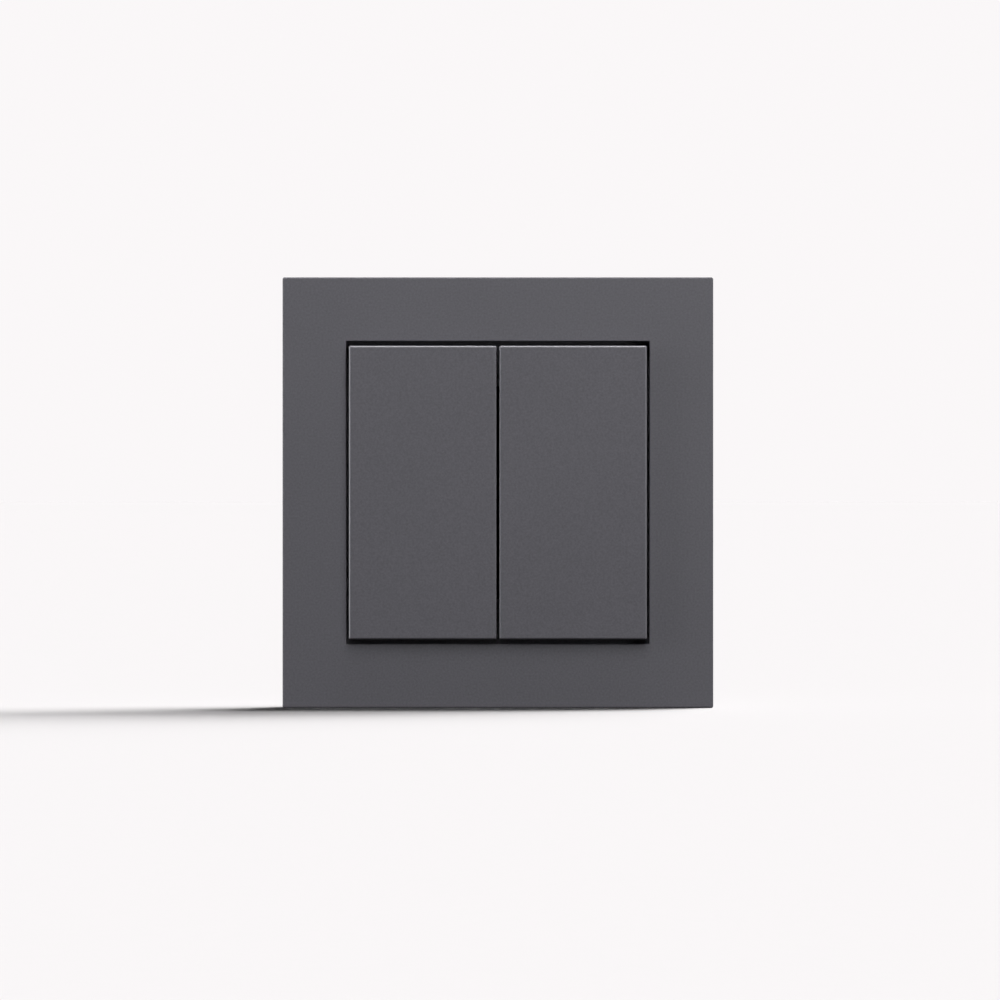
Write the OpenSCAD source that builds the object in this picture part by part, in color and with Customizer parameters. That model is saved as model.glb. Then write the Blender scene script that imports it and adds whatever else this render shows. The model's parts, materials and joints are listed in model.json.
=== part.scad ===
// Two-gang rocker wall switch: square cover frame, two centre-rest rockers, and the wall insert behind them.
// Millimetres. Local frame: x right, y up, z out of the wall, wall plane at z = 0; place() turns it upright.

/* [Cover frame] */
// Width and height of the square cover frame
frame_w = 80.8; // [80:0.1:86]
// How far the frame stands out from the wall
frame_depth = 10.0; // [9.4:0.1:12]
// Thickness of the frame's front
frame_face_t = 2.2; // [1.6:0.1:3]
// Thickness of the frame's outer wall
frame_wall_t = 2.0; // [1.4:0.1:2.6]
// Radius of the frame's four corners
frame_corner_r = 0.4; // [0.2:0.1:3]
// Width and height of the square opening for the rockers
opening_w = 56.9; // [56.4:0.1:58]
// Thickness of the collar around the opening
collar_t = 1.6; // [1.2:0.1:2]
// Width of the ledge behind the rockers' edges
ledge_w = 0.95; // [0.8:0.05:1]

/* [Rockers] */
// Width of one rocker
rocker_w = 27.65; // [27:0.05:28]
// Height of one rocker
rocker_h = 55.0; // [54:0.1:55.6]
// Gap between the two rockers
rocker_gap = 0.5; // [0.3:0.05:0.8]
// How far the rocker's face stands out from the wall
rocker_front = 12.0; // [11.8:0.1:13]
// Thickness of the rocker's face
rocker_face_t = 2.0; // [1.6:0.1:2.2]
// Thickness of the rocker's skirt
rocker_wall_t = 1.5; // [1.2:0.1:1.5]

/* [Pivots and springs] */
// Height of the pivot axis above the wall plane
pivot_z = 6.0; // [5.8:0.1:6.2]
// Radius of the toggle's pivot pins
pin_r = 1.5; // [1.2:0.05:1.6]
// Radial running clearance of the pivot pins
pin_gap = 0.05; // [0.02:0.01:0.1]
// Outside diameter of the return springs
spring_d = 4.2; // [3.8:0.1:4.4]
// Wire diameter of the return springs
spring_wire = 0.45; // [0.3:0.05:0.6]
// Turns of each return spring
spring_turns = 6; // [4:1:8]

/* [Support ring] */
// Width and height of the steel support ring
ring_w = 71.0; // [68:0.5:73]
// Sheet thickness of the support ring
ring_t = 1.0; // [0.8:0.1:1.0]
// Distance between the two wall box screws
box_screw_pitch = 60.0; // [60:0.1:60.3]
// Radius of the wall box screw holes
box_screw_r = 2.1; // [1.8:0.1:2.3]

/* [Housing] */
// Width of the switch housing
housing_w = 43.0; // [42:0.5:43]
// Height of the switch housing
housing_h = 40.0; // [39:0.5:40]
// Depth of the housing behind the wall plane
housing_depth = 28.0; // [27:0.5:30]
// Thickness of the housing's walls
housing_wall_t = 1.6; // [1.2:0.1:2]
// Thickness of the rear cover
rear_t = 2.0; // [1.6:0.1:2.4]

/* [Terminals] */
// Spacing of the three terminal columns
terminal_pitch = 13.2; // [13:0.1:13.4]
// Radius of the wire entries
wire_r = 1.6; // [1.4:0.05:1.8]
// Distance of the wire entries from the centre line
wire_y = 15.4; // [15:0.1:15.6]
// Distance of the release levers from the centre line
lever_y = 8.6; // [8.4:0.1:9]
// Width of the release levers
lever_w = 3.4; // [3:0.1:3.6]
// How far the release levers stand out at the rear
lever_out = 1.5; // [1:0.1:2]

/* [Claws] */
// Distance of the claw screws from the vertical centre line
claw_x = 24.6; // [24.4:0.1:25]
// Offset of the claw screws above and below the horizontal centre line
claw_y = 5.2; // [4.8:0.1:6]
// Slope of the claw ramps from the screw's axis
claw_slope = 30; // [25:1:35]
// Thickness of the claw strap
claw_t = 1.2; // [1:0.1:1.4]

/* [Hidden] */
$fn = 64;
face_in = rocker_front - rocker_face_t; // inner side of the rocker's face
skirt_z = 5.6;                          // rear edge of the rocker's skirt
rocker_x = (rocker_gap + rocker_w) / 2; // centre of one rocker
open_r = opening_w / 2;
frame_r = frame_w / 2;
collar_z = 2.2;                         // rear edge of the collar
// beads pressed into the support ring
bead_y = 23.4;
bead_l = 38;
bead_w = 3.2;
bead_h = 0.6;
// toggle
tog_x0 = 1.9;
tog_x1 = 19.3;
tog_y = 14.2;                // half length of the toggle plate
tog_z0 = 4.5;
tog_z1 = 7.5;
hook_y = tog_y + 0.2;        // inner face of the rocker's hooks
lug_r = 2.6;                 // half width of a bearing lug
lug_x = [[-20.5, 1.8], [0, 2.4], [20.5, 1.8]];  // centre and thickness of the bearing lugs
push_x = 12;
push_y = 12.5;
push_z = -5.0;
spring_x = 10.4;
spring_y = 7.0;
pocket_z = -3.7;             // floor of the spring pockets
// housing levels
flange_z = 2.4;
neck_z = -2.0;
floor_z = -12.0;             // floor of the contact chamber
rear_z = -housing_depth;
base_z = rear_z + rear_t;    // rear end of the housing base
screw_x = 6.6;
screw_y = 16.2;
// contacts
leaf_z = -5.7;
leaf_t = 0.4;
bus_t = 1.0;
strip_t = 0.8;               // thickness of the fixed contacts
tab_z = -8.7;
leg_y = 18.1;                // outer face of the terminal legs
rivet_r = 1.5;
rivet_y = 16.2;
rivet_t = 0.8;
chamber_w = 11;
chamber_y0 = 5.1;
// claws
claw_s = sin(claw_slope);
claw_c = cos(claw_slope);
ramp_z = -22;                // a point of the ramp line
ramp_x = 22.4;
claw_end = -14.5;            // front end of the claw strap
foot_z = -25.4;
nut_w = 5.5;
terminals = [for (i = [-1, 0, 1], s = [1, -1]) [i * terminal_pitch, s]];

module place() { rotate([90, 0, 0]) children(); }

// a box centred on x, y between two levels
module slab(x, y, w, h, z0, z1) {
  translate([x - w / 2, y - h / 2, z0]) cube([w, h, z1 - z0]);
}

module disc(x, y, r, z0, z1) {
  translate([x, y, z0]) cylinder(r = r, h = z1 - z0);
}

// a cylinder along x
module rod(x0, x1, z, r) {
  translate([x0, 0, z]) rotate([0, 90, 0]) cylinder(r = r, h = x1 - x0);
}

module round_slab(w, h, r, z0, z1) {
  translate([0, 0, z0]) linear_extrude(z1 - z0) union() {
    square([w - 2 * r, h], center = true);
    square([w, h - 2 * r], center = true);
    for (x = [-1, 1], y = [-1, 1]) translate([x * (w / 2 - r), y * (h / 2 - r)]) circle(r);
  }
}

module chamfer_slab(w, h, c, z0, z1) {
  a = w / 2;
  b = h / 2;
  translate([0, 0, z0]) linear_extrude(z1 - z0)
    polygon([[a - c, -b], [a, c - b], [a, b - c], [a - c, b],
             [c - a, b], [-a, b - c], [-a, c - b], [c - a, -b]]);
}

// a profile given as [y, z] points, extruded along x
module strip(points, w) {
  rotate([90, 0, 90]) translate([0, 0, -w / 2]) linear_extrude(w) polygon(points);
}

// a profile given as [x, z] points, extruded along y from y0 to y1
module web(points, y0, y1) {
  translate([0, y1, 0]) rotate([90, 0, 0]) linear_extrude(y1 - y0) polygon(points);
}

module coil(x, y, d, wire, turns, z0, z1) {
  k = 6;
  n = turns * 12;
  rise = z1 - z0 - wire;
  points = [for (i = [0:n], j = [0:k - 1])
    let (a = 30 * i, b = 360 * j / k, r = (d - wire) / 2 + wire / 2 * cos(b))
    [r * cos(a), r * sin(a), wire / 2 + rise * i / n + wire / 2 * sin(b)]];
  sides = [for (i = [0:n - 1], j = [0:k - 1], t = [0, 1])
    let (p = i * k + j, q = i * k + (j + 1) % k)
    t == 0 ? [p, q, q + k] : [p, q + k, p + k]];
  first = [for (j = [1:k - 2]) [0, j + 1, j]];
  last = [for (j = [1:k - 2]) [n * k, n * k + j, n * k + j + 1]];
  translate([x, y, z0]) polyhedron(points, concat(sides, first, last));
}

// ---- cover frame and support ring

module cover_frame() {
  color([0.1, 0.1, 0.11]) place() {
    difference() {
      round_slab(frame_w, frame_w, frame_corner_r, 0, frame_depth);
      slab(0, 0, frame_w - 2 * frame_wall_t, frame_w - 2 * frame_wall_t, -1, frame_depth - frame_face_t);
      slab(0, 0, opening_w, opening_w, -1, frame_depth + 1);
    }
    // collar, with a ledge that closes the gaps around the rockers from behind
    difference() {
      slab(0, 0, opening_w + 2 * collar_t, opening_w + 2 * collar_t, collar_z, frame_depth - frame_face_t + 0.2);
      slab(0, 0, opening_w, opening_w, collar_z + 1, frame_depth + 1);
      slab(0, 0, opening_w - 2 * ledge_w, opening_w - 2 * ledge_w, -1, frame_depth + 1);
    }
    // stiffening ribs and the tongues that the spring clips hold
    for (a = [0:90:270]) rotate([0, 0, a]) for (y = [-24, 0, 24])
      slab((frame_r + open_r) / 2 + 0.2, y, frame_r - open_r - frame_wall_t, 1.2, 2.4, frame_depth - frame_face_t + 0.2);
    for (x = [-33, 33], y = [-14, 14]) slab(x, y, 1.2, 6, 2, frame_depth - frame_face_t + 0.2);
  }
}

module frame_clips() {
  color([0.75, 0.76, 0.78]) place() for (x = [-33, 33], y = [-14, 14]) {
    slab(x, y, 2.0, 5, ring_t, ring_t + 0.4);
    for (s = [-0.8, 0.8]) slab(x + s, y, 0.4, 5, ring_t, 6);
  }
}

module support_ring() {
  color([0.72, 0.73, 0.75]) place() difference() {
    union() {
      chamfer_slab(ring_w, ring_w, 9, 0, ring_t);
      for (s = [-1, 1]) slab(0, s * bead_y, bead_l, bead_w, 0, ring_t + bead_h);
    }
    slab(0, 0, housing_w - 3, housing_h - 3, -1, ring_t + 1);
    for (s = [-1, 1]) {
      // the hollow side of the stiffening beads
      slab(0, s * bead_y, bead_l - 2, bead_w - 2, -1, bead_h);
      disc(s * box_screw_pitch / 2, 0, box_screw_r, -1, ring_t + 1);
      disc(s * claw_x, s * claw_y, 1.7, -1, ring_t + 1);
      // keyholes for the other two box screws
      disc(-3, s * box_screw_pitch / 2, box_screw_r, -1, ring_t + 1);
      slab(1.5, s * box_screw_pitch / 2, 9, 2 * box_screw_r, -1, ring_t + 1);
      disc(6, s * box_screw_pitch / 2, 3.8, -1, ring_t + 1);
      // adjustment slots beside the clips
      for (x = [-1, 1]) slab(x * 27.5, s * 19.5, 2.4, 6, -1, ring_t + 1);
    }
  }
}

// ---- rockers, toggles and return springs; the left ones mirror the right ones

module rocker() {
  difference() {
    slab(rocker_x, 0, rocker_w, rocker_h, skirt_z, rocker_front);
    slab(rocker_x, 0, rocker_w - 2 * rocker_wall_t, rocker_h - 2 * rocker_wall_t, skirt_z - 1, face_in);
    slab(rocker_gap / 2 + 1, 0, 3, 2 * lug_r + 2.8, skirt_z - 1, face_in);
  }
  for (x = [6.2, 14.0]) {
    slab(x, 0, 1.2, rocker_h - rocker_wall_t, face_in - 1, face_in + 0.2);
    for (y = [-9.4, 9.4]) slab(x, y, 1.2, 8, tog_z1, face_in + 0.2);
  }
  for (y = [-20, 20]) slab(rocker_x, y, rocker_w - rocker_wall_t, 1.2, face_in - 1, face_in + 0.2);
  // hooks that hold the rocker on its toggle
  for (h = [[3.2, 2.0], [17.0, 3.6]], s = [-1, 1]) {
    slab(h[0], s * (hook_y + 0.6), h[1], 1.2, tog_z0 - 0.6, face_in + 0.2);
    slab(h[0], s * (hook_y - 0.3), h[1], 1.0, tog_z0 - 0.6, tog_z0 - 0.1);
  }
}

module toggle() {
  slab((tog_x0 + tog_x1) / 2, 0, tog_x1 - tog_x0, 2 * tog_y, tog_z0, tog_z1);
  rod(tog_x0, tog_x1, pivot_z, 2.5);
  rod(0.15, 21.4, pivot_z, pin_r);
  for (s = [-1, 1]) {
    slab(push_x, s * push_y, 4, 2.4, push_z, tog_z0 + 0.5);
    disc(spring_x, s * spring_y, 1.3, tog_z0 - 1, tog_z0 + 0.5);
  }
}

module return_springs() {
  for (s = [-1, 1]) coil(spring_x, s * spring_y, spring_d, spring_wire, spring_turns, pocket_z, tog_z0);
}

module right_rocker() { color([0.11, 0.11, 0.12]) place() rocker(); }
module left_rocker() { color([0.11, 0.11, 0.12]) place() mirror([1, 0, 0]) rocker(); }
module right_toggle() { color([0.35, 0.35, 0.36]) place() toggle(); }
module left_toggle() { color([0.35, 0.35, 0.36]) place() mirror([1, 0, 0]) toggle(); }
module right_return_springs() { color([0.6, 0.6, 0.62]) place() return_springs(); }
module left_return_springs() { color([0.6, 0.6, 0.62]) place() mirror([1, 0, 0]) return_springs(); }

// ---- housing

module housing_cover() {
  neck_w = housing_w - 2 * housing_wall_t - 0.2;
  neck_h = housing_h - 2 * housing_wall_t - 0.2;
  color([0.2, 0.2, 0.21]) place() difference() {
    union() {
      chamfer_slab(housing_w, housing_h, 1.6, ring_t, flange_z);
      difference() {
        slab(0, 0, neck_w, neck_h, neck_z, ring_t + 0.2);
        slab(0, 0, neck_w - 2.4, neck_h - 2.4, neck_z - 1, ring_t);
      }
      for (x = [-1, 1], y = [-1, 1]) {
        disc(x * spring_x, y * spring_y, 3.1, pocket_z - 0.8, ring_t + 0.2);
        disc(x * screw_x, y * screw_y, 2.1, neck_z, ring_t + 0.2);
      }
      for (l = lug_x) {
        slab(l[0], 0, l[1], 2 * lug_r, flange_z - 0.2, pivot_z);
        rod(l[0] - l[1] / 2, l[0] + l[1] / 2, pivot_z, lug_r);
      }
    }
    rod(-25, 25, pivot_z, pin_r + pin_gap);
    for (l = lug_x) slab(l[0], 0, l[1] + 0.4, 2.4, pivot_z, pivot_z + 4);
    for (x = [-1, 1], y = [-1, 1]) {
      disc(x * spring_x, y * spring_y, 2.3, pocket_z, flange_z + 1);
      disc(x * screw_x, y * screw_y, 1.15, neck_z - 1, flange_z + 1);
      slab(x * push_x, y * push_y, 4.6, 4.0, neck_z - 1, flange_z + 1);
    }
  }
}

module housing_base() {
  ramp = [[housing_w / 2 - 0.2, ramp_z - (ramp_x - housing_w / 2 + 0.2) * claw_c / claw_s],
          [27, ramp_z + (27 - ramp_x) * claw_c / claw_s], [27, -12.5], [housing_w / 2 - 0.2, -12.5]];
  color([0.84, 0.84, 0.82]) place() {
    difference() {
      union() {
        difference() {
          chamfer_slab(housing_w, housing_h, 1.6, base_z, 0);
          slab(0, 0, housing_w - 2 * housing_wall_t, housing_h - 2 * housing_wall_t, floor_z, 1);
        }
        slab(0, 0, 26, 8.6, floor_z - 1, leaf_z - bus_t);
        for (x = [-1, 1], y = [-1, 1]) disc(x * screw_x, y * screw_y, 2.3, floor_z - 1, neck_z);
      }
      for (t = terminals)
        slab(t[0], t[1] * (chamber_y0 + leg_y) / 2, chamber_w, leg_y - chamber_y0, base_z - 1, floor_z);
      for (x = [-1, 1], y = [-1, 1]) disc(x * screw_x, y * screw_y, 1.15, -9.5, 0);
      for (x = [-1, 1]) disc(x * screw_x, 0, 1.25, base_z - 1, base_z + 4.5);
    }
    // ribs along the upper and lower sides
    for (x = [-12, 0, 12], s = [-1, 1]) slab(x, s * housing_h / 2, 1.6, 1.0, base_z + 2, -2);
    // bars that back the clamp springs
    for (t = terminals) slab(t[0], t[1] * 8, chamber_w + 0.4, 2, floor_z - 1.6, floor_z);
    // ramps that spread the claws
    for (a = [0, 180]) rotate([0, 0, a]) for (y = [3.0, -4.4]) web(ramp, claw_y + y, claw_y + y + 1.4);
  }
}

module rear_cover() {
  color([0.84, 0.84, 0.82]) place() {
    difference() {
      chamfer_slab(housing_w, housing_h, 1.6, rear_z, base_z);
      for (t = terminals) {
        disc(t[0], t[1] * wire_y, wire_r, rear_z - 1, base_z + 1);
        slab(t[0], t[1] * lever_y, lever_w + 0.2, lever_w + 0.2, rear_z - 1, base_z + 1);
      }
    }
    for (x = [-1, 1]) disc(x * screw_x, 0, 1.2, base_z - 0.2, base_z + 4);
    // barriers between the terminals
    slab(0, 0, housing_w - 3.2, 1.2, rear_z - 0.8, rear_z + 0.2);
    for (x = [-1, 1]) slab(x * terminal_pitch / 2, 0, 1.2, housing_h - 3.2, rear_z - 0.8, rear_z + 0.2);
  }
}

module housing_screws() {
  color([0.7, 0.7, 0.72]) place() for (x = [-1, 1], y = [-1, 1]) difference() {
    union() {
      disc(x * screw_x, y * screw_y, 2.1, flange_z, flange_z + 1.1);
      disc(x * screw_x, y * screw_y, 1.1, -9, flange_z + 0.2);
    }
    for (a = [0, 90]) translate([x * screw_x, y * screw_y, 0]) rotate([0, 0, a])
      slab(0, 0, 2.4, 0.5, flange_z + 0.4, flange_z + 2);
  }
}

// ---- contacts

module common_busbar() {
  z1 = leaf_z;
  z0 = leaf_z - bus_t;
  color([0.8, 0.65, 0.3]) place() difference() {
    union() {
      slab(0, 0, 8, 2 * leg_y, z0, z1);
      slab(0, 0, 26, 9, z0, z1);
      for (s = [-1, 1]) slab(0, s * (leg_y - strip_t / 2), 8, strip_t, base_z, z1);
    }
  }
}

module fixed_contacts() {
  color([0.8, 0.65, 0.3]) place() for (x = [-1, 1], y = [-1, 1]) difference() {
    union() {
      slab(x * terminal_pitch, y * (leg_y - 1.85), 8, 3.7, tab_z, tab_z + strip_t);
      slab(x * terminal_pitch, y * (leg_y - strip_t / 2), 8, strip_t, base_z, tab_z + strip_t);
    }
    disc(x * push_x, y * rivet_y, 0.8, tab_z - 1, tab_z + 2);
  }
}

module fixed_rivets() {
  color([0.85, 0.85, 0.86]) place() for (x = [-1, 1], y = [-1, 1]) {
    disc(x * push_x, y * rivet_y, rivet_r, tab_z + strip_t, tab_z + strip_t + rivet_t);
    disc(x * push_x, y * rivet_y, 0.8, tab_z - 0.3, tab_z + strip_t + 0.2);
    disc(x * push_x, y * rivet_y, 1.1, tab_z - 0.5, tab_z);
  }
}

module contact_leaves() {
  for (s = [-1, 1]) difference() {
    slab(push_x, s * 10.25, 5, 15.5, leaf_z, leaf_z + leaf_t);
    disc(push_x, s * rivet_y, 0.8, leaf_z - 1, leaf_z + 1);
  }
}

module moving_rivets() {
  for (s = [-1, 1]) {
    disc(push_x, s * rivet_y, rivet_r, leaf_z - rivet_t, leaf_z);
    disc(push_x, s * rivet_y, 0.8, leaf_z - 0.2, leaf_z + leaf_t + 0.1);
    disc(push_x, s * rivet_y, 1.1, leaf_z + leaf_t, leaf_z + leaf_t + 0.3);
  }
}

module right_contact_leaves() { color([0.78, 0.6, 0.35]) place() contact_leaves(); }
module left_contact_leaves() { color([0.78, 0.6, 0.35]) place() mirror([1, 0, 0]) contact_leaves(); }
module right_moving_rivets() { color([0.85, 0.85, 0.86]) place() moving_rivets(); }
module left_moving_rivets() { color([0.85, 0.85, 0.86]) place() mirror([1, 0, 0]) moving_rivets(); }

// ---- terminals: column is -1, 0 or 1, side is 1 for the upper row and -1 for the lower one

module clamp_spring(column, side) {
  t = 0.4;
  z = floor_z - 1.6;
  color([0.62, 0.62, 0.64]) place() translate([column * terminal_pitch, 0, 0]) rotate([0, 0, side > 0 ? 0 : 180])
    strip([[leg_y - strip_t, z], [5.9, z], [5.2, z - 0.5], [16.4, z - 8.0], [16.62, z - 7.67],
           [5.77, z - t], [leg_y - strip_t, z - t]], 8);
}

module release_lever(column, side) {
  x = column * terminal_pitch;
  y = side * lever_y;
  color([0.8, 0.42, 0.15]) place() {
    slab(x, y, lever_w, lever_w, rear_z - lever_out, -18.2);
    slab(x, y, 5, 5, base_z + 0.1, base_z + 1.1);
  }
}

// ---- claws; the left ones are the right ones turned by half a turn

module claw_screw() {
  difference() {
    union() {
      disc(claw_x, claw_y, 2.7, ring_t, ring_t + 2);
      disc(claw_x, claw_y, 1.5, -28.5, ring_t + 0.2);
    }
    slab(claw_x, claw_y, 6, 0.8, ring_t + 1, ring_t + 3);
  }
}

module claw_nut() {
  difference() {
    slab(claw_x, claw_y, nut_w, nut_w, foot_z - 2.5, foot_z - 0.1);
    disc(claw_x, claw_y, 1.52, foot_z - 4, foot_z + 1);
  }
}

module claw() {
  gap = 0.15;
  inner = 21.75;                      // just clear of the housing's side
  outer = 27.4;
  w = 4.4;                            // half width of the claw
  lx = ramp_x + gap * claw_c;         // a point of the strap's inner face
  lz = ramp_z - gap * claw_s;
  ox = lx + claw_t * claw_c;
  oz = lz - claw_t * claw_s;
  k = claw_s / claw_c;
  top = foot_z + 1.2;
  difference() {
    union() {
      web([[inner, foot_z], [outer, foot_z], [outer, top], [inner, top]], claw_y - w, claw_y + w);
      web([[inner, top - 0.2], [inner, lz + (inner - lx) / k], [lx + (claw_end - lz) * k, claw_end],
           [ox + (claw_end - oz) * k, claw_end], [ox + (top - 0.2 - oz) * k, top - 0.2]], claw_y - w, claw_y + w);
    }
    // slot for the screw, closed at the outer edge of the foot and at the claw's tip
    slab(claw_x - 1.1, claw_y, 6, 3.8, foot_z - 1, -15.6);
  }
}

module right_claw_screw() { color([0.7, 0.7, 0.72]) place() claw_screw(); }
module left_claw_screw() { color([0.7, 0.7, 0.72]) place() rotate([0, 0, 180]) claw_screw(); }
module right_claw_nut() { color([0.7, 0.7, 0.72]) place() claw_nut(); }
module left_claw_nut() { color([0.7, 0.7, 0.72]) place() rotate([0, 0, 180]) claw_nut(); }
module right_claw() { color([0.66, 0.67, 0.7]) place() claw(); }
module left_claw() { color([0.66, 0.67, 0.7]) place() rotate([0, 0, 180]) claw(); }

cover_frame();
frame_clips();
support_ring();
left_rocker();
right_rocker();
left_toggle();
right_toggle();
left_return_springs();
right_return_springs();
housing_cover();
housing_base();
rear_cover();
housing_screws();
common_busbar();
fixed_contacts();
fixed_rivets();
left_contact_leaves();
right_contact_leaves();
left_moving_rivets();
right_moving_rivets();
clamp_spring(-1, 1);  // clamp_spring_lt
clamp_spring(-1, -1);  // clamp_spring_lb
clamp_spring(0, 1);  // clamp_spring_mt
clamp_spring(0, -1);  // clamp_spring_mb
clamp_spring(1, 1);  // clamp_spring_rt
clamp_spring(1, -1);  // clamp_spring_rb
release_lever(-1, 1);  // release_lever_lt
release_lever(-1, -1);  // release_lever_lb
release_lever(0, 1);  // release_lever_mt
release_lever(0, -1);  // release_lever_mb
release_lever(1, 1);  // release_lever_rt
release_lever(1, -1);  // release_lever_rb
left_claw_screw();
right_claw_screw();
left_claw_nut();
right_claw_nut();
left_claw();
right_claw();
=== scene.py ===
"""Looks of the two-gang rocker wall switch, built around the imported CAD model."""

import json
import math

import bmesh
import bpy
from mathutils import Matrix, Vector


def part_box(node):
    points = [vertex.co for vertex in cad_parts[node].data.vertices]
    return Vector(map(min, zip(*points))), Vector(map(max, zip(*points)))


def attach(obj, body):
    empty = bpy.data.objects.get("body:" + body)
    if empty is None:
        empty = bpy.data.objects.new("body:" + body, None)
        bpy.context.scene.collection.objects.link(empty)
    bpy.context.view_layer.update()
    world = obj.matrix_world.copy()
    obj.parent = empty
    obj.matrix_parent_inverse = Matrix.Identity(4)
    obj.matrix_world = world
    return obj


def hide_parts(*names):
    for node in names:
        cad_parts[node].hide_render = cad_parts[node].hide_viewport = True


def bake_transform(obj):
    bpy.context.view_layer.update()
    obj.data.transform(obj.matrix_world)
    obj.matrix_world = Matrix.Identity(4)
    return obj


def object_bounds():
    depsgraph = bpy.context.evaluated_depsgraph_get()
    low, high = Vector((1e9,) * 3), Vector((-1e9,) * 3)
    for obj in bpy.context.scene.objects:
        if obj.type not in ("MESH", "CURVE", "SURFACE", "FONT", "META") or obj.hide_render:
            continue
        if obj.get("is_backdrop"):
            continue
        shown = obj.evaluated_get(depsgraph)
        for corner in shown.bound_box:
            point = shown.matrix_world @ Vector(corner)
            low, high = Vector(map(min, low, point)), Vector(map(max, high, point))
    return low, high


MM = 0.001

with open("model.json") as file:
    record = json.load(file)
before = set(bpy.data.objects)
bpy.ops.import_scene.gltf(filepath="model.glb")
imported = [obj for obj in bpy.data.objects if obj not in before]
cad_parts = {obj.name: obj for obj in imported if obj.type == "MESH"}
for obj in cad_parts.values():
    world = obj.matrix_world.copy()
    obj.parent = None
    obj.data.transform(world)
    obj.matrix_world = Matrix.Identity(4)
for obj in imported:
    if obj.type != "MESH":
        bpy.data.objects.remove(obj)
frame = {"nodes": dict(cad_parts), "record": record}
cad_lo, cad_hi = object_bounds()
nodes = frame["nodes"]
scene = bpy.context.scene

# ---------------------------------------------------------------- materials


def new_material(name):
    mat = bpy.data.materials.new(name)
    mat.use_nodes = True
    tree = mat.node_tree
    return mat, tree.nodes, tree.links, tree.nodes["Principled BSDF"]


def noise(ns, links, coords, scale, detail, rough):
    tex = ns.new("ShaderNodeTexNoise")
    tex.inputs["Scale"].default_value = scale
    tex.inputs["Detail"].default_value = detail
    tex.inputs["Roughness"].default_value = rough
    links.new(coords, tex.inputs["Vector"])
    return tex.outputs["Fac"]


RAMP_LOW_AT, RAMP_HIGH_AT = 0.3, 0.7
CLOUD_SCALE = 40.0
GRAIN_DEPTH = 0.02 * MM


def ramp(ns, links, value, low, high):
    """A colour that goes from low to high over the middle of the value's range."""
    node = ns.new("ShaderNodeValToRGB")
    node.color_ramp.elements[0].position = RAMP_LOW_AT
    node.color_ramp.elements[1].position = RAMP_HIGH_AT
    node.color_ramp.elements[0].color = (*low, 1)
    node.color_ramp.elements[1].color = (*high, 1)
    links.new(value, node.inputs["Fac"])
    return node.outputs["Color"]


def scaled(color, k):
    return tuple(min(1.0, c * k) for c in color)


def grained(name, color, rough, spread=0.06, grain=2600, bump=0.25, metallic=0.0, rough_spread=0.05,
            cloud=0.02):
    """A material whose colour, roughness and bump follow a fine grain, while a slow cloud varies its tone."""
    mat, ns, links, bsdf = new_material(name)
    place = ns.new("ShaderNodeTexCoord").outputs["Object"]
    fine = noise(ns, links, place, grain, 3.0, 0.6)
    slow = noise(ns, links, place, CLOUD_SCALE, 3.0, 0.5)
    mix = ns.new("ShaderNodeMix")
    mix.data_type = "RGBA"
    mix.blend_type = "MULTIPLY"
    mix.inputs["Factor"].default_value = 1.0
    links.new(ramp(ns, links, fine, scaled(color, 1 - spread), scaled(color, 1 + spread)), mix.inputs["A"])
    links.new(ramp(ns, links, slow, (1 - cloud,) * 3, (1 + cloud,) * 3), mix.inputs["B"])
    links.new(mix.outputs["Result"], bsdf.inputs["Base Color"])
    gloss = ns.new("ShaderNodeMapRange")
    gloss.inputs["To Min"].default_value = rough - rough_spread
    gloss.inputs["To Max"].default_value = rough + rough_spread
    links.new(fine, gloss.inputs["Value"])
    links.new(gloss.outputs["Result"], bsdf.inputs["Roughness"])
    relief = ns.new("ShaderNodeBump")
    relief.inputs["Strength"].default_value = bump
    relief.inputs["Distance"].default_value = GRAIN_DEPTH
    links.new(fine, relief.inputs["Height"])
    links.new(relief.outputs["Normal"], bsdf.inputs["Normal"])
    bsdf.inputs["Metallic"].default_value = metallic
    return mat


ANTHRACITE = (0.0660, 0.0639, 0.0750)
ROCKER_PAINTED_SHADE = 0.965  # painted shade: the rockers' colour is a touch darker than the frame's, to offset the lamps that light only the rockers
LOOKS = {
    "anthracite_frame": dict(color=ANTHRACITE, rough=0.50, spread=0.17, bump=0.35),
    "anthracite_rocker": dict(color=scaled(ANTHRACITE, ROCKER_PAINTED_SHADE), rough=0.50, spread=0.17, bump=0.35),
    "toggle_plastic": dict(color=(0.10, 0.10, 0.103), rough=0.45, grain=1500, bump=0.1),
    "cover_plastic": dict(color=(0.045, 0.045, 0.048), rough=0.5, grain=1500, bump=0.15),
    "housing_plastic": dict(color=(0.60, 0.60, 0.585), rough=0.42, spread=0.03, grain=1400, bump=0.15),
    "lever_plastic": dict(color=(0.33, 0.12, 0.03), rough=0.4, spread=0.04, grain=1400, bump=0.1),
    "zinc_plated_steel": dict(color=(0.56, 0.57, 0.60), rough=0.33, spread=0.10, grain=900, bump=0.12,
                              metallic=1.0, rough_spread=0.08, cloud=0.08),
    "plated_screw_steel": dict(color=(0.58, 0.58, 0.60), rough=0.28, grain=1500, bump=0.1, metallic=1.0),
    "spring_steel": dict(color=(0.45, 0.46, 0.48), rough=0.25, grain=1500, bump=0.1, metallic=1.0),
    "brass": dict(color=(0.78, 0.56, 0.24), rough=0.3, grain=1200, bump=0.1, metallic=1.0, cloud=0.06),
    "spring_bronze": dict(color=(0.72, 0.42, 0.22), rough=0.3, grain=1200, bump=0.1, metallic=1.0),
    "contact_silver": dict(color=(0.85, 0.85, 0.86), rough=0.25, spread=0.03, grain=1500, bump=0.08,
                           metallic=1.0),
}
MATERIALS = {slot: grained(slot, **look) for slot, look in LOOKS.items()}


def set_material(obj, slot):
    mat = MATERIALS[slot]
    if obj.data.materials:
        for i in range(len(obj.data.materials)):
            obj.data.materials[i] = mat
    else:
        obj.data.materials.append(mat)


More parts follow.
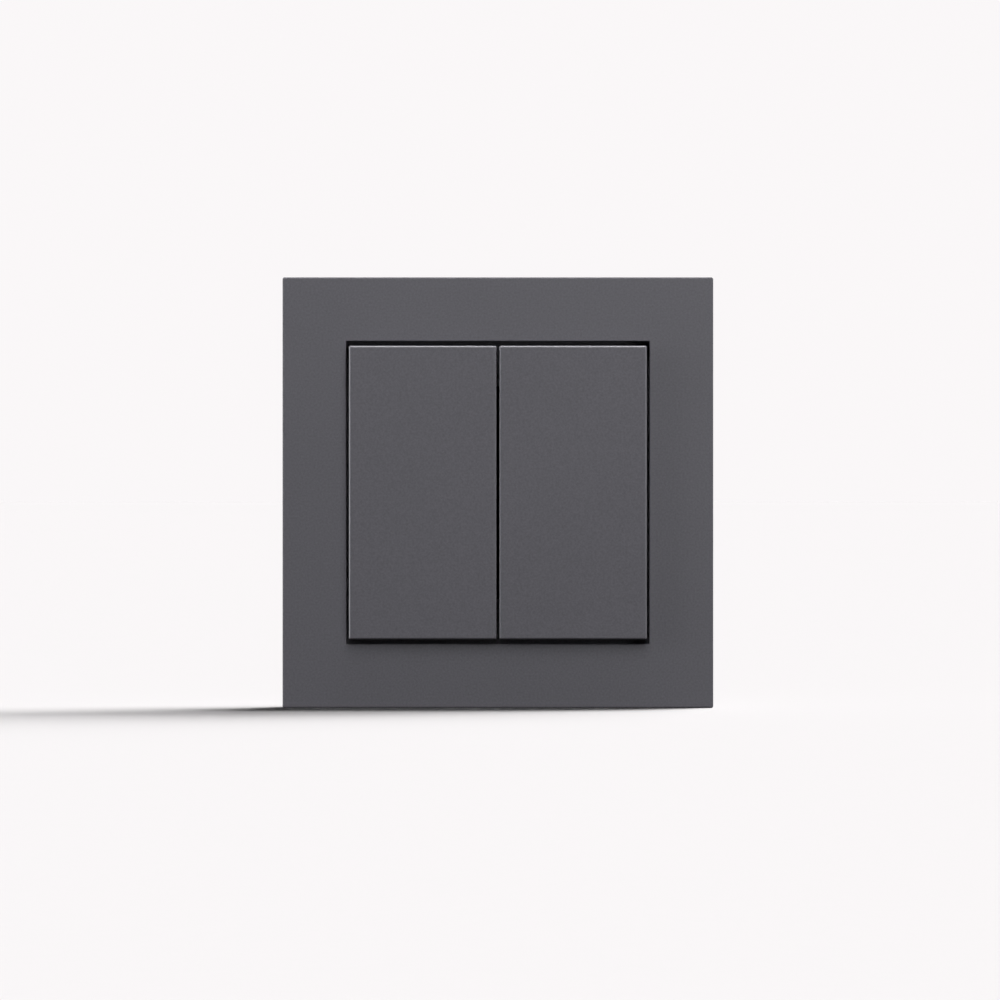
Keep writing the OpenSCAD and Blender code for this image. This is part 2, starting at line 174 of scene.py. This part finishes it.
# ---------------------------------------------------------------- rounded edges on the CAD nodes

SHARP = 25  # degrees: edges that turn by more stay sharp in the shading
BEVEL_ANGLE = 40  # degrees: edges that turn by more are rounded
FLAT_ANGLE = 0.5  # degrees: faces that differ by less become one
WELD_REACH = 0.002 * MM
OUTLINE_SHARE = 0.9  # edges further out than this share of the half width belong to the outline


def geometry_group(name):
    """An empty geometry node group with its input and output sockets."""
    group = bpy.data.node_groups.new(name, "GeometryNodeTree")
    group.interface.new_socket("Geometry", in_out="INPUT", socket_type="NodeSocketGeometry")
    group.interface.new_socket("Geometry", in_out="OUTPUT", socket_type="NodeSocketGeometry")
    return group, group.nodes, group.links


def math_node(ns, links, operation, a, b=0.0):
    n = ns.new("ShaderNodeMath")
    n.operation = operation
    for socket, value in zip(n.inputs, (a, b)):
        if isinstance(value, float):
            socket.default_value = value
        else:
            links.new(value, socket)
    return n.outputs[0]


def smooth_marker():
    """A node group that shades a mesh smooth, but sharp across every edge that turns by more than SHARP."""
    group, ns, links = geometry_group("smooth_by_angle")
    bare = ns.new("GeometryNodeRemoveAttribute")
    bare.inputs["Name"].default_value = "custom_normal"
    links.new(ns.new("NodeGroupInput").outputs[0], bare.inputs["Geometry"])
    faces = ns.new("GeometryNodeSetShadeSmooth")
    faces.domain = "FACE"
    links.new(bare.outputs[0], faces.inputs["Geometry"])
    edges = ns.new("GeometryNodeSetShadeSmooth")
    edges.domain = "EDGE"
    edges.inputs["Shade Smooth"].default_value = False
    bend = ns.new("GeometryNodeInputMeshEdgeAngle").outputs["Unsigned Angle"]
    links.new(math_node(ns, links, "GREATER_THAN", bend, math.radians(SHARP)), edges.inputs["Selection"])
    links.new(faces.outputs[0], edges.inputs["Geometry"])
    links.new(edges.outputs[0], ns.new("NodeGroupOutput").inputs[0])
    return group


def outline_marker(name, box, inner=1.0, corners=False):
    """A node group that gives every edge on the box's front plane a bevel weight.

    Edges well inside the box's outline get the weight inner, and corners adds the box's own edges along Y.
    """
    near = 0.02 * MM
    lo, hi = box
    group, ns, links = geometry_group(name)

    def calc(operation, a, b=0.0):
        return math_node(ns, links, operation, a, b)

    split = ns.new("ShaderNodeSeparateXYZ")
    links.new(ns.new("GeometryNodeInputPosition").outputs[0], split.inputs[0])
    by_side, on_side = [], []
    for axis, a, b in (("X", lo.x, hi.x), ("Z", lo.z, hi.z)):
        off = calc("ABSOLUTE", calc("SUBTRACT", split.outputs[axis], (a + b) / 2))
        by_side.append(calc("GREATER_THAN", off, OUTLINE_SHARE * (b - a) / 2))
        on_side.append(calc("GREATER_THAN", off, (b - a) / 2 - near))
    outer = calc("MAXIMUM", *by_side)
    weight = calc("ADD", calc("MULTIPLY", outer, 1.0 - inner), inner)
    weight = calc("MULTIPLY", weight, calc("LESS_THAN", split.outputs["Y"], lo.y + near))
    if corners:
        weight = calc("MAXIMUM", weight, calc("MULTIPLY", *on_side))
    bend = ns.new("GeometryNodeInputMeshEdgeAngle").outputs["Unsigned Angle"]
    weight = calc("MULTIPLY", weight, calc("GREATER_THAN", bend, math.radians(SHARP)))
    store = ns.new("GeometryNodeStoreNamedAttribute")
    store.data_type = "FLOAT"
    store.domain = "EDGE"
    store.inputs["Name"].default_value = "bevel_weight_edge"
    links.new(ns.new("NodeGroupInput").outputs[0], store.inputs["Geometry"])
    links.new(weight, store.inputs["Value"])
    links.new(store.outputs[0], ns.new("NodeGroupOutput").inputs[0])
    return group


smooth_by_angle = smooth_marker()


def dress(obj, width, segments=2, outline=None):
    """Merges the CAD triangles back into whole flat faces and rounds the edges, by modifiers alone."""
    weld = obj.modifiers.new("weld", "WELD")
    weld.merge_threshold = WELD_REACH
    flat = obj.modifiers.new("flat", "DECIMATE")
    flat.decimate_type = "DISSOLVE"
    flat.angle_limit = math.radians(FLAT_ANGLE)
    obj.modifiers.new("smooth", "NODES").node_group = smooth_by_angle
    if outline:
        obj.modifiers.new("outline", "NODES").node_group = outline
    bev = obj.modifiers.new("edges", "BEVEL")
    bev.limit_method = "WEIGHT" if outline else "ANGLE"
    bev.angle_limit = math.radians(BEVEL_ANGLE)
    bev.width = width * MM
    bev.segments = segments
    bev.use_clamp_overlap = False
    even = obj.modifiers.new("even", "WEIGHTED_NORMAL")
    even.weight = 50
    even.keep_sharp = True


slot_of = {s["node"]: s["material_slot"] for s in frame["record"]["subparts"]}
for name, obj in nodes.items():
    set_material(obj, slot_of[name])

ROCKER_EDGE = 0.32
FRAME_EDGE = 0.26
OPENING_EDGE = 0.12
for name in ("left_rocker", "right_rocker"):
    dress(nodes[name], ROCKER_EDGE, 3, outline_marker(name + "_outline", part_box(name), corners=True))
dress(nodes["cover_frame"], FRAME_EDGE, 3,
      outline_marker("cover_frame_outline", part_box("cover_frame"), OPENING_EDGE / FRAME_EDGE))
EDGES = {"support_ring": 0.10, "housing_base": 0.20, "rear_cover": 0.20}
for side in ("left", "right"):
    EDGES.update({side + "_toggle": 0.12, side + "_claw": 0.14, side + "_claw_nut": 0.30})
for name in nodes:
    if name.startswith("release_lever"):
        EDGES[name] = 0.30
for name, width in EDGES.items():
    dress(nodes[name], width)

# ---------------------------------------------------------------- screws and springs

AROUND = 28  # points in one full turn
CREASE = 35  # degrees: new pieces stay sharp across edges that turn by more


def piece(name, bm, slot, node):
    """Makes an object of the bmesh that stands for a CAD node."""
    bmesh.ops.recalc_face_normals(bm, faces=bm.faces)
    for edge in bm.edges:
        if len(edge.link_faces) == 2 and edge.calc_face_angle() > math.radians(CREASE):
            edge.smooth = False
    mesh = bpy.data.meshes.new(name)
    bm.to_mesh(mesh)
    bm.free()
    obj = bpy.data.objects.new(name, mesh)
    scene.collection.objects.link(obj)
    set_material(obj, slot)
    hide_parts(node)
    return obj


def add_rings(bm, rings):
    """Joins rings of equally many points with smooth quads; the first and last ring become end faces."""
    made = [[bm.verts.new(p) for p in ring] for ring in rings]
    n = len(made[0])
    for a, b in zip(made, made[1:]):
        for i in range(n):
            bm.faces.new((a[i], a[(i + 1) % n], b[(i + 1) % n], b[i])).smooth = True
    bm.faces.new(made[0][::-1])
    bm.faces.new(made[-1])


def on_circle(centre, r, y, angle):
    """A point at radius r and depth y around an axis along Y, from millimetres."""
    x, z = centre
    return Vector((x + r * math.cos(angle), y, z + r * math.sin(angle))) * MM


def wind(bm, centre, coil_r, profile, depth, turns):
    """Winds a profile of (outward, along) points about an axis along Y, at depth(t) after t turns."""
    rings = []
    for k in range(int(turns * AROUND) + 1):
        t = k / AROUND
        angle = 2 * math.pi * t
        rings.append([on_circle(centre, coil_r + out, depth(t) + along, angle) for out, along in profile])
    add_rings(bm, rings)


def cut_boxes(bm, boxes):
    """Cuts boxes, given as (centre, size), out of the bmesh and gives back the result as a new bmesh."""
    for centre, size in boxes:
        target_mesh = bpy.data.meshes.new("target")
        bm.to_mesh(target_mesh)
        bm.free()
        target = bpy.data.objects.new("target", target_mesh)
        box = bmesh.new()
        place = Matrix.Translation(centre) @ Matrix.Diagonal((*size, 1.0))
        bmesh.ops.create_cube(box, size=1.0, matrix=place)
        box_mesh = bpy.data.meshes.new("box")
        box.to_mesh(box_mesh)
        box.free()
        cutter = bpy.data.objects.new("cutter", box_mesh)
        for obj in (target, cutter):
            scene.collection.objects.link(obj)
        cut = target.modifiers.new("cut", "BOOLEAN")
        cut.operation = "DIFFERENCE"
        cut.solver = "EXACT"
        cut.object = cutter
        result = target.evaluated_get(bpy.context.evaluated_depsgraph_get()).to_mesh()
        bm = bmesh.new()
        bm.from_mesh(result)
        for obj in (target, cutter):
            bpy.data.objects.remove(obj)
    return bm


SUNK = 0.05  # how deep the foot of a thread's ridge lies in the core
THREAD_RUNOUT = 0.4


def screw(centre, head, shaft, pitch, slots):
    """A pan head screw along +Y: head is (radius, top, seat) and shaft (radius, end), in millimetres."""
    head_r, top, seat = head
    shaft_r, end = shaft
    ridge_h, foot, crest = 0.6 * pitch, 0.46 * pitch, 0.06 * pitch
    core_r = shaft_r - ridge_h
    # (radius, depth) from the crown of the head over its side and the core to the tip
    outline = [(head_r * 0.55, top), (head_r * 0.80, top + 0.06), (head_r * 0.93, top + 0.2),
               (head_r, top + 0.5), (head_r, seat - 0.12), (head_r - 0.12, seat), (core_r, seat),
               (core_r, end - 0.35), (core_r - 0.3, end)]
    bm = bmesh.new()
    turn = 2 * math.pi / AROUND
    add_rings(bm, [[on_circle(centre, r, y, i * turn) for i in range(AROUND)] for r, y in outline])
    bmesh.ops.recalc_face_normals(bm, faces=bm.faces)
    x, z = centre
    bm = cut_boxes(bm, [(Vector((x, top, z)) * MM, Vector((w, 2 * d, h)) * MM) for w, h, d in slots])
    ridge = [(-SUNK, -foot), (ridge_h, -crest), (ridge_h, crest), (-SUNK, foot)]
    start = seat + 0.5 * pitch
    last = end - THREAD_RUNOUT - 0.5 * pitch
    wind(bm, centre, core_r, ridge, lambda t: start + t * pitch, (last - start) / pitch)
    return bm


WIRE_SIDES = 10


def spring(bm, centre, y0, y1, outer, wire, turns):
    """A compression spring along Y from y0 to y1, with one closed turn at each end."""
    free = y1 - y0 - 3 * wire

    def depth(t):
        closed = min(t, 1) + max(0, t - 1 - turns)
        return y0 + wire / 2 + closed * wire + max(0, min(t - 1, turns)) / turns * free

    steps = [2 * math.pi * i / WIRE_SIDES for i in range(WIRE_SIDES)]
    profile = [(wire / 2 * math.cos(b), wire / 2 * math.sin(b)) for b in steps]
    wind(bm, centre, (outer - wire) / 2, profile, depth, turns + 2)


def box_in_mm(node):
    lo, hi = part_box(node)
    return lo / MM, hi / MM


# (width, height, depth) of the cuts in the heads
CLAW_SLOT = [(6.0, 0.8, 1.0)]
CROSS = [(2.4, 0.5, 0.7), (0.5, 2.4, 0.7)]
CLAW_HEAD_HEIGHT, CLAW_SHAFT_R, CLAW_PITCH = 2.0, 1.5, 0.5
SPRING_TOP, SPRING_FOOT = -4.5, 3.7
SPRING_WIRE, SPRING_TURNS = 0.45, 5
for side in ("left", "right"):
    lo, hi = box_in_mm(side + "_claw_screw")
    head = ((hi.x - lo.x) / 2, lo.y, lo.y + CLAW_HEAD_HEIGHT)
    bm = screw(((lo.x + hi.x) / 2, (lo.z + hi.z) / 2), head, (CLAW_SHAFT_R, hi.y), CLAW_PITCH, CLAW_SLOT)
    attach(piece(side + "_claw_screw_threaded", bm, "plated_screw_steel", side + "_claw_screw"),
            side + "_claw_screw_body")
    lo, hi = box_in_mm(side + "_return_springs")
    outer = hi.x - lo.x
    bm = bmesh.new()
    for z in (lo.z + outer / 2, hi.z - outer / 2):
        spring(bm, ((lo.x + hi.x) / 2, z), SPRING_TOP, SPRING_FOOT, outer, SPRING_WIRE, SPRING_TURNS)
    springs = piece(side + "_return_springs_wound", bm, "spring_steel", side + "_return_springs")
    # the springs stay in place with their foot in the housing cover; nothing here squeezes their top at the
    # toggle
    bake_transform(springs)

HOUSING_SCREW_X, HOUSING_SCREW_Z = 6.6, 16.2
HOUSING_HEAD, HOUSING_SHAFT, HOUSING_PITCH = (2.1, -3.5, -2.4), (1.1, 9.0), 0.8
bm = bmesh.new()
for x in (-HOUSING_SCREW_X, HOUSING_SCREW_X):
    for z in (-HOUSING_SCREW_Z, HOUSING_SCREW_Z):
        one = screw((x, z), HOUSING_HEAD, HOUSING_SHAFT, HOUSING_PITCH, CROSS)
        mesh = bpy.data.meshes.new("one_screw")
        one.to_mesh(mesh)
        one.free()
        bm.from_mesh(mesh)
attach(piece("housing_screws_threaded", bm, "plated_screw_steel", "housing_screws"), "insert")

# ---------------------------------------------------------------- copies of the leaves and clamp springs


def giving_copy(node, start, end, cuts=0):
    """A copy of a CAD node in its place, cut across at cuts evenly spaced depths from start to end."""
    bm = bmesh.new()
    bm.from_mesh(nodes[node].data)
    bmesh.ops.remove_doubles(bm, verts=bm.verts, dist=WELD_REACH)
    for k in range(cuts):
        depth = start + (end - start) * k / (cuts - 1)
        bmesh.ops.bisect_plane(bm, geom=bm.verts[:] + bm.edges[:] + bm.faces[:], dist=0.001 * MM,
                               plane_co=(0, depth * MM, 0), plane_no=(0, 1, 0))
    flexing = piece(node + "_flexing", bm, slot_of[node], node)
    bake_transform(flexing)


# start and end place a long blend that would turn a leaf and its rivets by 0.6 of the rocker's angle, nearly
# evenly over their thickness; this script makes no such blend, and with no cuts the copies are left whole
LEAF_DEPTH, BLEND_LENGTH, AT_SHARE = 5.5, 100.0, 0.567
for side in ("left", "right"):
    for kind in ("_contact_leaves", "_moving_rivets"):
        start = LEAF_DEPTH - AT_SHARE * BLEND_LENGTH
        giving_copy(side + kind, start, start + BLEND_LENGTH)

# the free arm of a clamp spring lies behind its fixed strip; its copy is cut across at six depths over that
# arm
ARM_START, ARM_END = 14.1, 16.2
for name in [n for n in nodes if n.startswith("clamp_spring")]:
    giving_copy(name, ARM_START, ARM_END, 6)

# ---------------------------------------------------------------- floor, world, camera, light

floor_mesh = bpy.data.meshes.new("floor")
FLOOR_HALF = 200.0
corners = [(FLOOR_HALF * a, FLOOR_HALF * b) for a, b in ((-1, -1), (1, -1), (1, 1), (-1, 1))]
floor_mesh.from_pydata([(x, y, cad_lo.z) for x, y in corners], [], [(0, 1, 2, 3)])
floor = bpy.data.objects.new("floor", floor_mesh)
scene.collection.objects.link(floor)
floor_mat, ns, links, bsdf = new_material("floor_white")
FLOOR_TONE = (0.80, 0.78, 0.785)
SPECK = 0.002  # how far the floor's tone varies
speck = noise(ns, links, ns.new("ShaderNodeTexCoord").outputs["Object"], 300.0, 2.0, 0.5)
tone = ramp(ns, links, speck, scaled(FLOOR_TONE, 1 - SPECK), scaled(FLOOR_TONE, 1 + SPECK))
links.new(tone, bsdf.inputs["Base Color"])
bsdf.inputs["Roughness"].default_value = 1.0
bsdf.inputs["Specular IOR Level"].default_value = 0.0
floor.data.materials.append(floor_mat)
floor.visible_diffuse = False
floor.visible_glossy = False
floor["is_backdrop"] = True

BACKDROP = (0.956, 0.932, 0.9385)
AMBIENT_LOW, AMBIENT_HIGH = 0.015, 0.034
world = bpy.data.worlds.new("studio")
scene.world = world
world.use_nodes = True
wn, wl = world.node_tree.nodes, world.node_tree.links
background = wn["Background"]
direction = wn.new("ShaderNodeTexCoord")
split = wn.new("ShaderNodeSeparateXYZ")
wl.new(direction.outputs["Generated"], split.inputs[0])
height = wn.new("ShaderNodeMapRange")
height.inputs["From Min"].default_value = -1.0
height.inputs["From Max"].default_value = 1.0
height.inputs["To Min"].default_value = AMBIENT_LOW
height.inputs["To Max"].default_value = AMBIENT_HIGH
wl.new(split.outputs["Z"], height.inputs["Value"])
seen = wn.new("ShaderNodeLightPath")
pick = wn.new("ShaderNodeMix")
pick.data_type = "RGBA"
wl.new(seen.outputs["Is Camera Ray"], pick.inputs["Factor"])
wl.new(height.outputs["Result"], pick.inputs["A"])
pick.inputs["B"].default_value = (*BACKDROP, 1)
wl.new(pick.outputs["Result"], background.inputs["Color"])
background.inputs["Strength"].default_value = 1.0
scene.view_settings.view_transform = "Standard"

CAMERA_DISTANCE = 1.8
FRAME_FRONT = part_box("cover_frame")[0].y
PICTURE_WIDTH = 0.18758  # metres across the picture at the frame's front
CAMERA_X, CAMERA_Z = 0.00040, -0.00139
SENSOR_WIDTH = 36.0
cam_data = bpy.data.cameras.new("camera")
cam = bpy.data.objects.new("camera", cam_data)
scene.collection.objects.link(cam)
cam.location = (CAMERA_X, FRAME_FRONT - CAMERA_DISTANCE, CAMERA_Z)
cam.rotation_euler = (math.radians(90), 0, 0)
cam_data.sensor_width = SENSOR_WIDTH
cam_data.lens = SENSOR_WIDTH * CAMERA_DISTANCE / PICTURE_WIDTH
cam_data.clip_start = 0.05
cam_data.clip_end = 500
scene.camera = cam


def collection(name, objects):
    """A collection outside the scene that a lamp's light is limited to."""
    group = bpy.data.collections.new(name)
    for obj in objects:
        group.objects.link(obj)
    return group


def place_light(data, where, target, receivers):
    obj = bpy.data.objects.new(data.name, data)
    scene.collection.objects.link(obj)
    obj.location = where
    obj.rotation_mode = "QUATERNION"
    obj.rotation_quaternion = (Vector(target) - Vector(where)).to_track_quat("-Z", "Y")
    obj.visible_camera = False
    obj.light_linking.receiver_collection = receivers


def area(name, where, size, watts, receivers, target=(0, 0, 0)):
    data = bpy.data.lights.new(name, "AREA")
    data.shape = "RECTANGLE"
    data.size, data.size_y = size
    data.energy = watts
    place_light(data, where, target, receivers)


def sun(name, direction, strength, softness, receivers):
    """direction points from the object to the light."""
    data = bpy.data.lights.new(name, "SUN")
    data.energy = strength
    data.angle = math.radians(softness)
    place_light(data, Vector(direction).normalized() * 2, (0, 0, 0), receivers)


switch_parts = [obj for obj in scene.collection.all_objects if obj.type == "MESH" and obj != floor]
rocker_parts = [nodes["left_rocker"], nodes["right_rocker"]]
whole_switch = collection("whole_switch", switch_parts)
rockers = collection("rockers", rocker_parts)
frame_only = collection("frame_only", [nodes["cover_frame"]])
covers = collection("covers", rocker_parts + [nodes["cover_frame"]])
floor_only = collection("floor_only", [floor])

sun("low_right", (0.683, 0.594, 0.425), 2.57, 36, floor_only)
sun("low_back_right", (0.433, 0.715, 0.549), 2.47, 43, floor_only)
sun("high_back_right", (0.171, 0.310, 0.935), 1.29, 14, floor_only)
area("front_top", (0.06, -0.52, 0.52), (0.42, 0.62), 5.75, covers)
area("front_left", (-0.80, -0.20, 0.06), (0.20, 0.5), 5.0, frame_only)
area("front_right", (0.42, -0.68, 0.10), (0.3, 0.5), 2.1, frame_only)
area("rocker_front", (0.42, -0.68, 0.10), (0.3, 0.5), 1.1, rockers)
area("overhead", (0.0, -0.05, 0.70), (0.6, 0.16), 5.0, covers)
area("rocker_top", (0.0, -0.04, 0.70), (0.6, 0.10), 7.0, rockers)
area("rocker_left", (-0.8, -0.09, 0.05), (0.10, 0.5), 14.5, rockers)
area("rocker_right", (0.8, -0.09, 0.05), (0.10, 0.5), 4.5, rockers)
area("side_left", (-0.72, 0.10, 0.42), (0.4, 0.4), 3.0, whole_switch)
area("side_right", (0.72, 0.10, 0.42), (0.4, 0.4), 3.0, whole_switch)
area("rear_right", (0.35, 0.85, 0.55), (0.7, 0.7), 6.0, whole_switch)
area("rear_left", (-0.7, 0.6, 0.2), (0.6, 0.6), 3.5, whole_switch)
area("under", (0.0, 0.1, -0.8), (0.6, 0.6), 1.5, whole_switch)

lo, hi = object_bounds()
